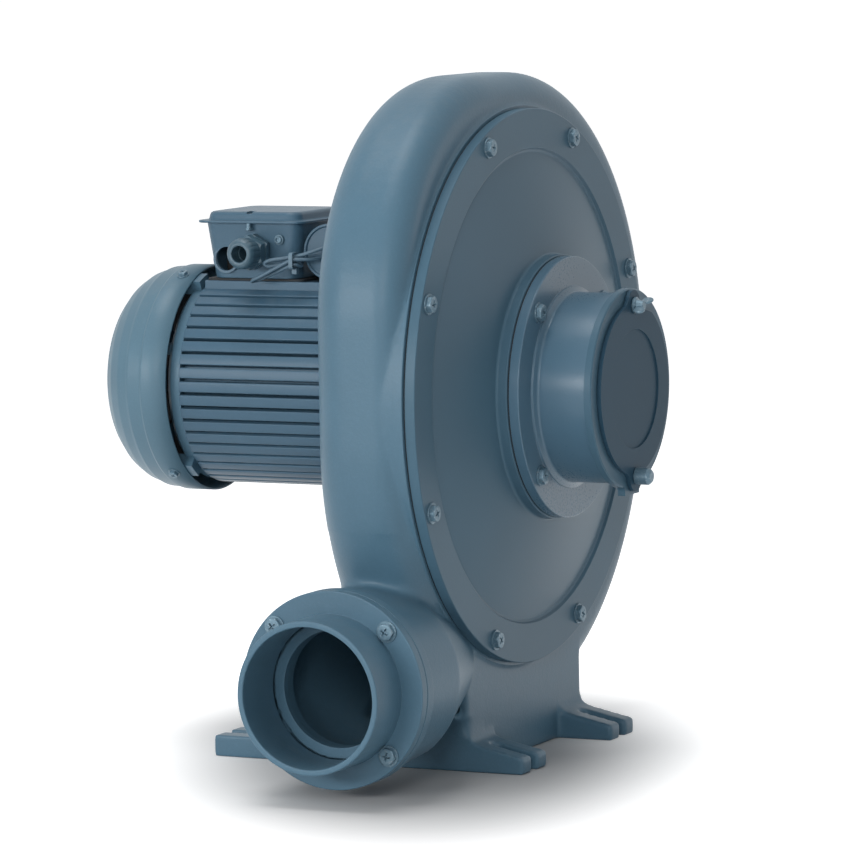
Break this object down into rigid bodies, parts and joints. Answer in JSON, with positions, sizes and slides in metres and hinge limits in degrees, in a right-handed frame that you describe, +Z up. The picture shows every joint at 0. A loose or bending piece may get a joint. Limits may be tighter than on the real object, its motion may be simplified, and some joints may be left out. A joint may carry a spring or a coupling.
{
  "type": "centrifugal blower",
  "caption": "Direct driven radial blower: cast scroll casing on a footed pedestal, swing damper on the round inlet, hose spigot on the outlet and a finned motor behind.",
  "frame": {"origin": "on the mounting plane under the feet, straight below the point where the shaft crosses the middle plane of the outlet", "axes": "+Z up, +Y from the inlet towards the motor along the shaft, +X to the right seen from the inlet, away from the outlet"},
  "size_m": [0.6115, 0.4893, 0.5755],
  "materials": {
    "casing_paint": "satin, cast grain under the paint",
    "cover_paint": "satin, turned face under the paint",
    "motor_paint": "satin, cast grain under the paint",
    "box_paint": "satin",
    "bolt_zinc": "zinc plated, painted over in part",
    "bright_steel": "ground",
    "gasket_fibre": "matte",
    "impeller_aluminium": "pressed sheet",
    "core_steel": "stacked sheet",
    "winding_copper": "varnished wire",
    "cage_brass": "satin",
    "fan_plastic": "moulded",
    "gland_plastic": "moulded, grey blue",
    "block_plastic": "moulded",
    "can_paint": "satin",
    "lead_jacket": "smooth jacket",
    "tie_plastic": "smooth"
  },
  "bodies": {
    "housing": {"volute_casing": "casing_paint", "cover_gasket": "gasket_fibre", "front_cover": "cover_paint", "cover_bolts": "bolt_zinc", "inlet_gasket": "gasket_fibre", "inlet_pipe": "cover_paint", "inlet_bolts": "bolt_zinc", "damper_seat": "cover_paint", "damper_pivot": "bolt_zinc", "outlet_gasket": "gasket_fibre", "outlet_spigot": "casing_paint", "outlet_bolts": "bolt_zinc", "shaft_seal": "gasket_fibre", "front_bell": "motor_paint", "front_bell_bolts": "bolt_zinc", "front_bearing_outer": "bright_steel", "stator_frame": "motor_paint", "stator_core": "core_steel", "stator_windings": "winding_copper", "rear_bell": "motor_paint", "rear_bell_bolts": "bolt_zinc", "rear_bearing_outer": "bright_steel", "wave_spring": "bright_steel", "fan_cover": "motor_paint", "fan_cover_screws": "bolt_zinc", "terminal_box_gasket": "gasket_fibre", "terminal_box": "box_paint", "terminal_box_lid": "box_paint", "lid_screws": "bolt_zinc", "terminal_block": "block_plastic", "gland_body": "gland_plastic", "gland_cap": "gland_plastic", "earth_screw": "bolt_zinc", "capacitor": "can_paint", "capacitor_clamp": "bolt_zinc", "capacitor_leads": "lead_jacket", "cable_tie": "tie_plastic"},
    "rotor": {"motor_shaft": "bright_steel", "rotor_core": "core_steel", "impeller_hub": "impeller_aluminium", "impeller_back_plate": "impeller_aluminium", "impeller_blades": "impeller_aluminium", "impeller_shroud": "impeller_aluminium", "impeller_rivets": "impeller_aluminium", "impeller_washer": "bolt_zinc", "impeller_bolt": "bolt_zinc", "shaft_key": "bright_steel", "shaft_sleeve": "bright_steel", "cooling_fan": "fan_plastic", "fan_circlip": "bright_steel", "front_bearing_inner": "bright_steel", "rear_bearing_inner": "bright_steel"},
    "front_balls": {"front_bearing_cage": "cage_brass"},
    "rear_balls": {"rear_bearing_cage": "cage_brass"},
    "damper": {"damper_plate": "cover_paint"},
    "wing_screw_body": {"wing_screw": "bolt_zinc"}
  },
  "joints": [
    {"name": "rotor_spin", "type": "hinge", "parent": "housing", "child": "rotor", "pos_m": [0, 0, 0.312], "axis": [0, 1, 0], "continuous": true},
    {"name": "front_ball_spin", "type": "hinge", "parent": "housing", "child": "front_balls", "pos_m": [0, 0.07, 0.312], "axis": [0, 1, 0], "continuous": true},
    {"name": "rear_ball_spin", "type": "hinge", "parent": "housing", "child": "rear_balls", "pos_m": [0, 0.235, 0.312], "axis": [0, 1, 0], "continuous": true},
    {"name": "damper_swing", "type": "hinge", "parent": "housing", "child": "damper", "pos_m": [0, -0.146, 0.2385], "axis": [0, -1, 0], "range_deg": [0, 125]},
    {"name": "wing_screw_turn", "type": "hinge", "parent": "housing", "child": "wing_screw_body", "pos_m": [0, -0.15, 0.382], "axis": [0, -1, 0], "continuous": true}
  ],
  "couplings": [
    {"joint": "front_ball_spin", "follows": "rotor_spin", "ratio": 0.37},
    {"joint": "rear_ball_spin", "follows": "rotor_spin", "ratio": 0.36}
  ]
}
